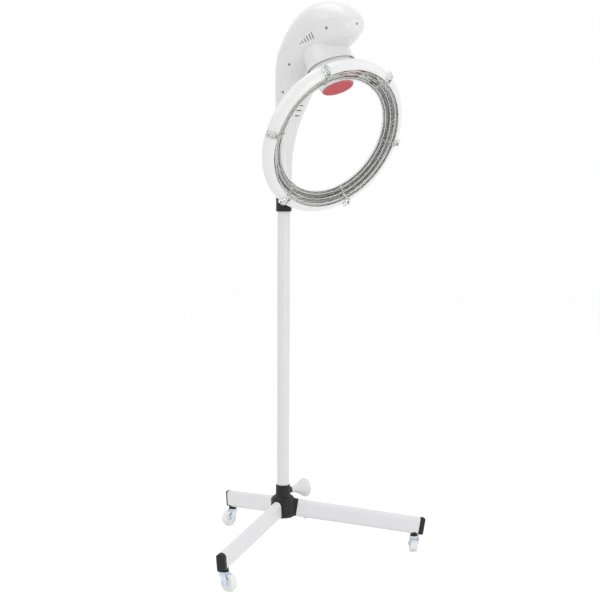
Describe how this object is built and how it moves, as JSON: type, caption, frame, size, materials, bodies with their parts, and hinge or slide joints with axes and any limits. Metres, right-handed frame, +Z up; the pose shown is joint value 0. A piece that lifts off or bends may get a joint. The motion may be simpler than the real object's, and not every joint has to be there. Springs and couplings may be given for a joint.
{
  "type": "hood hair dryer",
  "caption": "Orbiting infrared ring dryer: a tilted heating ring turns under a curved head on a telescoping pole with a castered three-leg base.",
  "frame": {"origin": "on the floor, on the axis of the pole", "axes": "+Z up along the pole; -Y the way the head reaches, so +Y is behind the pole; +X to the right seen from the front, looking along +Y"},
  "size_m": [0.7139, 0.6941, 1.5697],
  "materials": {
    "black_plastic": "moulded black",
    "white_steel": "gloss powder coat",
    "zinc_steel": "bright zinc",
    "black_steel": "blackened",
    "nylon": "translucent white nylon",
    "white_plastic": "moulded white, semi-gloss",
    "bush_plastic": "natural acetal",
    "stem_steel": "polished",
    "frame_steel": "grey primer",
    "brass": "machined",
    "board": "solder mask",
    "panel_grey": "fine texture",
    "display_red": "smoked window",
    "button_grey": "rubberised",
    "red_lens": "translucent red",
    "reflector": "polished",
    "quartz": "clear quartz",
    "filament": "dark wire",
    "ceramic": "glazed ceramic",
    "wire_red": "silicone sleeve",
    "guard_steel": "polished",
    "clear_plastic": "clear moulding"
  },
  "bodies": {
    "stand": {"leg_hub": "black_plastic", "right_leg": "white_steel", "left_leg": "white_steel", "rear_leg": "white_steel", "leg_caps": "black_plastic", "leg_bolts": "zinc_steel", "caster_seats": "black_plastic", "caster_stems": "zinc_steel", "lower_pole": "white_steel", "pole_joint_sleeve": "zinc_steel", "upper_pole": "white_steel", "pole_collar": "black_plastic", "collar_bush": "bush_plastic"},
    "right_caster": {"right_fork": "zinc_steel", "right_axle": "zinc_steel"},
    "right_wheel": {"right_wheel": "nylon"},
    "left_caster": {"left_fork": "zinc_steel", "left_axle": "zinc_steel"},
    "left_wheel": {"left_wheel": "nylon"},
    "rear_caster": {"rear_fork": "zinc_steel", "rear_axle": "zinc_steel"},
    "rear_wheel": {"rear_wheel": "nylon"},
    "pole_clamp": {"pole_clamp_knob": "white_plastic", "pole_clamp_stud": "zinc_steel"},
    "height_lock": {"height_knob": "black_plastic"},
    "stem": {"head_stem": "stem_steel", "stem_foot": "black_plastic"},
    "head": {"swivel_bush": "bush_plastic", "chassis": "frame_steel", "housing_cover": "white_plastic", "housing_body": "white_plastic", "housing_screws": "black_steel", "gear_motor": "frame_steel", "rotor_bearing": "zinc_steel", "brush_block": "black_plastic", "control_board": "board", "control_panel": "panel_grey", "display_window": "display_red", "power_inlet": "black_plastic"},
    "rotor": {"rotor_hub": "white_plastic", "hub_lens": "red_lens", "rotor_shaft": "zinc_steel", "drive_gear": "bush_plastic", "slip_rings": "brass", "ring_shell": "white_plastic", "ring_reflector": "reflector", "heat_tubes": "quartz", "tube_filaments": "filament", "tube_caps": "ceramic", "ring_wires": "wire_red", "guard_wires": "guard_steel", "wire_combs": "clear_plastic", "clip_blocks": "clear_plastic", "clip_screws": "black_steel"},
    "motor_pinion": {"pinion": "brass"},
    "start_button": {"start_button": "button_grey"},
    "mode_button": {"mode_button": "button_grey"},
    "plus_button": {"plus_button": "button_grey"},
    "minus_button": {"minus_button": "button_grey"},
    "power_rocker": {"power_switch": "black_plastic"}
  },
  "joints": [
    {"name": "right_caster_swivel", "type": "hinge", "parent": "stand", "child": "right_caster", "pos_m": [0.29363, -0.24901, 0.044], "axis": [0, 0, 1], "continuous": true},
    {"name": "right_wheel_spin", "type": "hinge", "parent": "right_caster", "child": "right_wheel", "pos_m": [0.30327, -0.23752, 0.022], "axis": [-0.766, 0.6428, 0], "continuous": true},
    {"name": "left_caster_swivel", "type": "hinge", "parent": "stand", "child": "left_caster", "pos_m": [-0.35646, -0.14547, 0.044], "axis": [0, 0, 1], "continuous": true},
    {"name": "left_wheel_spin", "type": "hinge", "parent": "left_caster", "child": "left_wheel", "pos_m": [-0.35437, -0.16032, 0.022], "axis": [0.9903, 0.1392, 0], "continuous": true},
    {"name": "rear_caster_swivel", "type": "hinge", "parent": "stand", "child": "rear_caster", "pos_m": [0.13041, 0.36224, 0.044], "axis": [0, 0, 1], "continuous": true},
    {"name": "rear_wheel_spin", "type": "hinge", "parent": "rear_caster", "child": "rear_wheel", "pos_m": [0.11542, 0.3625, 0.022], "axis": [-0.0175, -0.9998, 0], "continuous": true},
    {"name": "pole_clamp_turn", "type": "hinge", "parent": "stand", "child": "pole_clamp", "pos_m": [0, 0, 0.18689], "axis": [0.9903, -0.1392, 0], "range_deg": [-180, 180]},
    {"name": "height_lock_turn", "type": "hinge", "parent": "stand", "child": "height_lock", "pos_m": [0, 0, 1.012], "axis": [0.6947, 0.7193, 0], "range_deg": [-180, 180]},
    {"name": "height_slide", "type": "slide", "parent": "stand", "child": "stem", "axis": [0, 0, 1], "range_m": [0, 0.21]},
    {"name": "head_swivel", "type": "hinge", "parent": "stem", "child": "head", "pos_m": [0, 0, 1.036], "axis": [0, 0, 1], "range_deg": [-170, 170]},
    {"name": "ring_orbit", "type": "hinge", "parent": "head", "child": "rotor", "pos_m": [0, -0.2097, 1.337], "axis": [0, 0.4195, 0.9078], "continuous": true},
    {"name": "pinion_spin", "type": "hinge", "parent": "head", "child": "motor_pinion", "pos_m": [0, -0.11166, 1.41508], "axis": [0, 0.4195, 0.9078], "continuous": true},
    {"name": "start_press", "type": "slide", "parent": "head", "child": "start_button", "axis": [0, -0.5722, -0.8201], "range_m": [0, 0.0015], "stiffness_N_per_m": 600},
    {"name": "mode_press", "type": "slide", "parent": "head", "child": "mode_button", "axis": [0, -0.5722, -0.8201], "range_m": [0, 0.0015], "stiffness_N_per_m": 600},
    {"name": "plus_press", "type": "slide", "parent": "head", "child": "plus_button", "axis": [0, -0.5722, -0.8201], "range_m": [0, 0.0015], "stiffness_N_per_m": 600},
    {"name": "minus_press", "type": "slide", "parent": "head", "child": "minus_button", "axis": [0, -0.5722, -0.8201], "range_m": [0, 0.0015], "stiffness_N_per_m": 600},
    {"name": "power_rocker_tilt", "type": "hinge", "parent": "head", "child": "power_rocker", "pos_m": [0, 0.01487, 1.2505], "axis": [1, 0, 0], "range_deg": [-7, 7]}
  ],
  "couplings": [
    {"joint": "pinion_spin", "follows": "ring_orbit", "ratio": -4}
  ]
}
